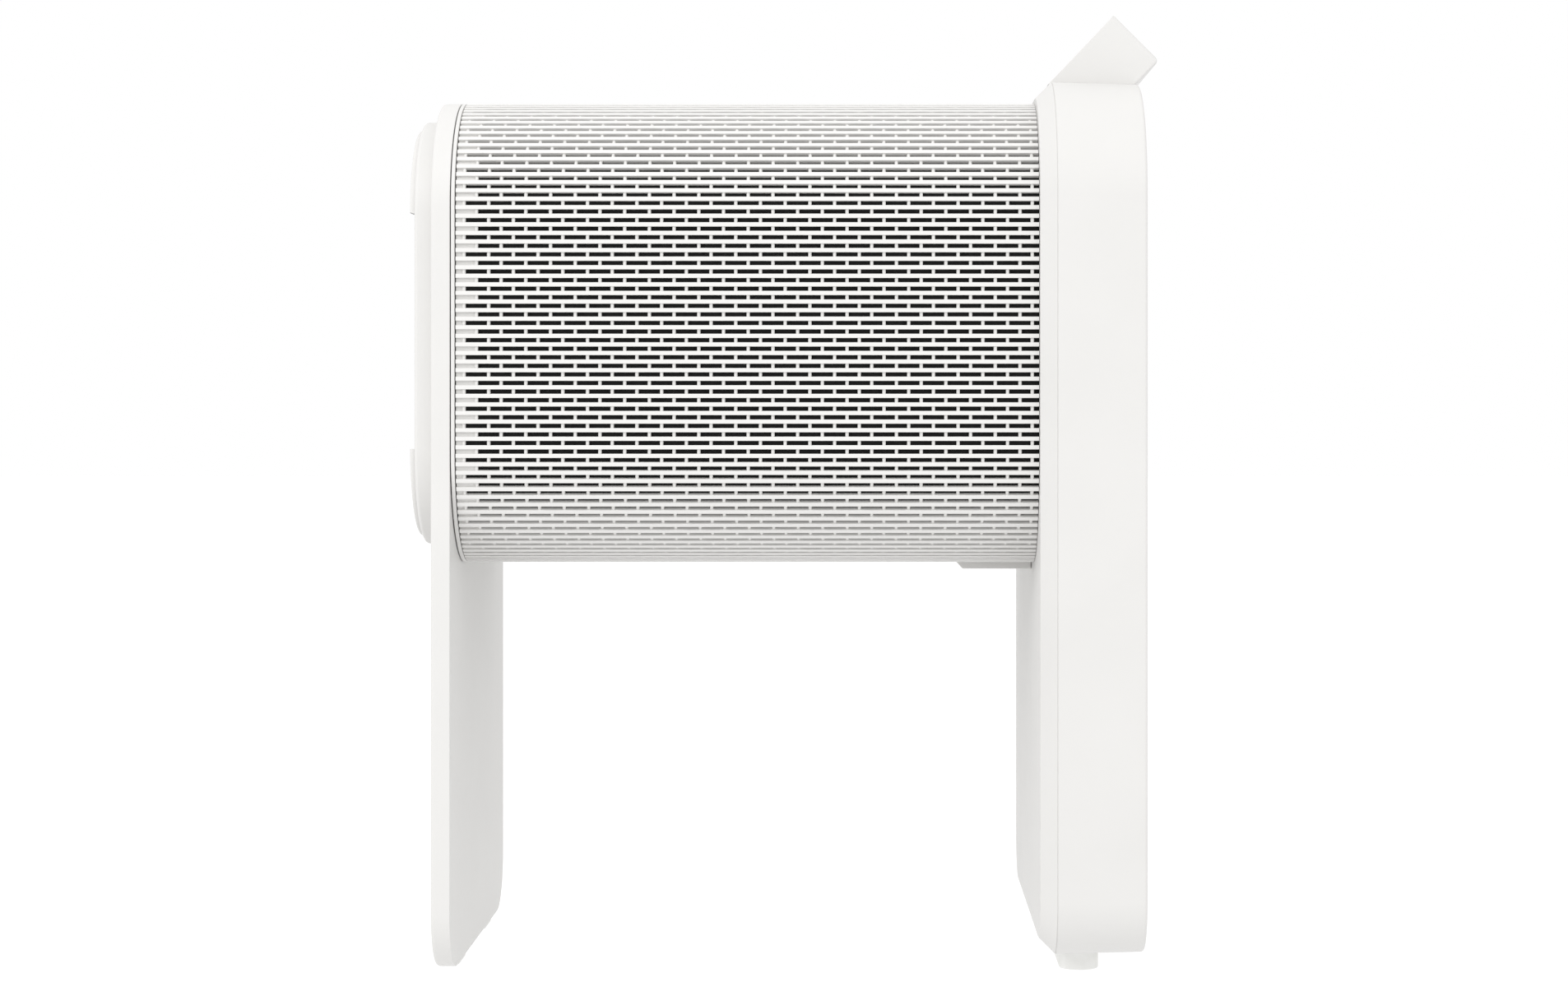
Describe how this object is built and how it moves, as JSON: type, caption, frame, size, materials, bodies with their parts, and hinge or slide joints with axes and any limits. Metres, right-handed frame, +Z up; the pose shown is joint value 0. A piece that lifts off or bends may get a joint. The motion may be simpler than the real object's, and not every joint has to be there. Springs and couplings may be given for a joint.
{
  "type": "air purifier",
  "caption": "Air purifier with a slotted horizontal barrel held between a thin rear leg panel and a thick front housing, with a raised 45-degree control head.",
  "frame": {"origin": "on the floor, under the middle of the object's box", "axes": "+Z up, +X along the barrel from the rear lid to the front cover, +Y across the width"},
  "size_m": [0.416, 0.2898, 0.5349],
  "materials": {
    "white_shell": "moulded ABS, fine spark-eroded texture, satin-matte",
    "soft_white": "moulded ABS, slightly warmer and smoother than the shell",
    "button_white": "moulded keycap, soft-touch matte",
    "black_mesh": "fine black nylon mesh",
    "dark_plastic": "glass-filled nylon, matte",
    "light_rubber": "light grey rubber, matte",
    "filter_paper": "pleated non-woven paper",
    "carbon": "activated-carbon fleece",
    "foam": "closed-cell foam",
    "steel": "zinc-plated steel",
    "brass": "nickel-free brass pins",
    "circuit_board": "solder-masked glass-epoxy board",
    "smoked_lens": "smoked clear polycarbonate"
  },
  "bodies": {
    "frame": {"barrel_sleeve": "white_shell", "rear_end_ring": "white_shell", "prefilter_mesh": "black_mesh", "rear_panel": "white_shell", "rear_glide_near": "light_rubber", "rear_glide_far": "light_rubber", "tie_rod_1": "steel", "tie_rod_2": "steel", "tie_rod_3": "steel", "tie_rod_4": "steel", "tie_rod_screw_1": "steel", "tie_rod_screw_2": "steel", "tie_rod_screw_3": "steel", "tie_rod_screw_4": "steel", "fan_inlet_plate": "soft_white", "fan_motor": "steel", "motor_mount": "dark_plastic", "outlet_duct": "soft_white", "front_housing": "white_shell", "front_cover": "white_shell", "outlet_grille": "white_shell", "main_board": "circuit_board", "power_supply": "dark_plastic", "air_sensor": "dark_plastic", "front_foot": "light_rubber", "foot_screw_near": "steel", "foot_screw_far": "steel", "control_head": "white_shell", "control_panel": "soft_white", "display_lens": "smoked_lens", "display_board": "circuit_board", "mains_inlet_box": "white_shell", "mains_inlet": "dark_plastic", "mains_pin_1": "brass", "mains_pin_2": "brass"},
    "lid": {"rear_lid": "white_shell", "lid_pad_upper": "soft_white", "lid_pad_lower": "soft_white", "lid_magnet_1": "steel", "lid_magnet_2": "steel", "lid_magnet_3": "steel", "lid_magnet_4": "steel"},
    "filter": {"filter_end_cap_rear": "dark_plastic", "filter_end_cap_front": "dark_plastic", "filter_media": "filter_paper", "carbon_core": "carbon", "filter_seal": "foam", "filter_pull_tab": "light_rubber"},
    "fan_rotor": {"impeller": "dark_plastic", "fan_shaft": "steel"},
    "power_button": {"button_power": "button_white"},
    "fan_speed_button": {"button_fan_speed": "button_white"},
    "mode_button": {"button_mode": "button_white"},
    "timer_button": {"button_timer": "button_white"}
  },
  "joints": [
    {"name": "fan_spin", "type": "hinge", "parent": "frame", "child": "fan_rotor", "pos_m": [0.16, 0, 0.3562], "axis": [1, 0, 0], "continuous": true},
    {"name": "lid_release", "type": "slide", "parent": "frame", "child": "lid", "axis": [-1, 0, 0], "range_m": [0, 0.38]},
    {"name": "filter_pull", "type": "slide", "parent": "frame", "child": "filter", "axis": [-1, 0, 0], "range_m": [0, 0.32]},
    {"name": "press_power", "type": "slide", "parent": "frame", "child": "power_button", "axis": [-0.7071, 0, -0.7071], "range_m": [0, 0.001], "stiffness_N_per_m": 1200},
    {"name": "press_fan_speed", "type": "slide", "parent": "frame", "child": "fan_speed_button", "axis": [-0.7071, 0, -0.7071], "range_m": [0, 0.001], "stiffness_N_per_m": 1200},
    {"name": "press_mode", "type": "slide", "parent": "frame", "child": "mode_button", "axis": [-0.7071, 0, -0.7071], "range_m": [0, 0.001], "stiffness_N_per_m": 1200},
    {"name": "press_timer", "type": "slide", "parent": "frame", "child": "timer_button", "axis": [-0.7071, 0, -0.7071], "range_m": [0, 0.001], "stiffness_N_per_m": 1200}
  ],
  "couplings": [
    {"joint": "filter_pull", "follows": "lid_release", "ratio": 0.8421}
  ]
}
